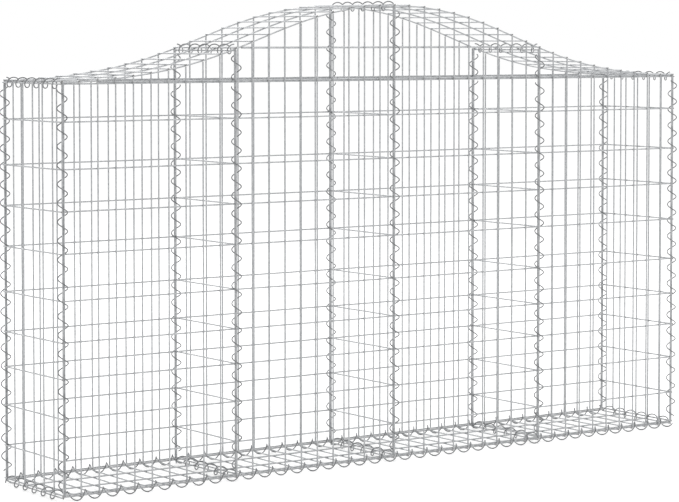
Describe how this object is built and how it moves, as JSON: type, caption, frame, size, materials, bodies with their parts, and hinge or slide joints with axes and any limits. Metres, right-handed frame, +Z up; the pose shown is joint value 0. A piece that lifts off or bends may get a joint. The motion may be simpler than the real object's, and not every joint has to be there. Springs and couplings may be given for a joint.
{
  "type": "gabion wall",
  "caption": "Arched welded-mesh gabion wall basket, empty, with partitions, a curved lid and spiral binders lacing the panels together.",
  "frame": {"origin": "middle of the basket's footprint, at the height of the lowest turns of the spirals that it stands on", "axes": "+X along the wall towards the right-hand end, +Y through the wall towards its back, +Z up"},
  "size_m": [2.0298, 0.3298, 1.2264],
  "materials": {
    "mesh_wire": "galvanised",
    "spiral_wire": "galvanised"
  },
  "bodies": {
    "root": {"front_mesh_bay_1": "mesh_wire", "front_mesh_bay_2": "mesh_wire", "front_mesh_bay_3": "mesh_wire", "front_mesh_bay_4": "mesh_wire", "back_mesh_bay_1": "mesh_wire", "back_mesh_bay_2": "mesh_wire", "back_mesh_bay_3": "mesh_wire", "back_mesh_bay_4": "mesh_wire", "end_mesh_left": "mesh_wire", "end_mesh_right": "mesh_wire", "floor_mesh": "mesh_wire", "lid_mesh_bay_1": "mesh_wire", "lid_mesh_bay_2": "mesh_wire", "lid_mesh_bay_3": "mesh_wire", "lid_mesh_bay_4": "mesh_wire", "front_arch_mesh": "mesh_wire", "back_arch_mesh": "mesh_wire", "partition_1": "mesh_wire", "partition_2": "mesh_wire", "partition_3": "mesh_wire", "corner_coil_front_left": "spiral_wire", "corner_coil_front_right": "spiral_wire", "corner_coil_back_left": "spiral_wire", "corner_coil_back_right": "spiral_wire", "partition_coils_front_1": "spiral_wire", "partition_coils_front_2": "spiral_wire", "partition_coils_front_3": "spiral_wire", "partition_coils_back_1": "spiral_wire", "partition_coils_back_2": "spiral_wire", "partition_coils_back_3": "spiral_wire", "base_coil_front": "spiral_wire", "base_coil_back": "spiral_wire", "floor_coil_left": "spiral_wire", "floor_coil_1": "spiral_wire", "floor_coil_2": "spiral_wire", "floor_coil_3": "spiral_wire", "floor_coil_right": "spiral_wire", "lid_coil_left": "spiral_wire", "lid_coil_1": "spiral_wire", "lid_coil_2": "spiral_wire", "lid_coil_3": "spiral_wire", "lid_coil_right": "spiral_wire"}
  },
  "joints": []
}
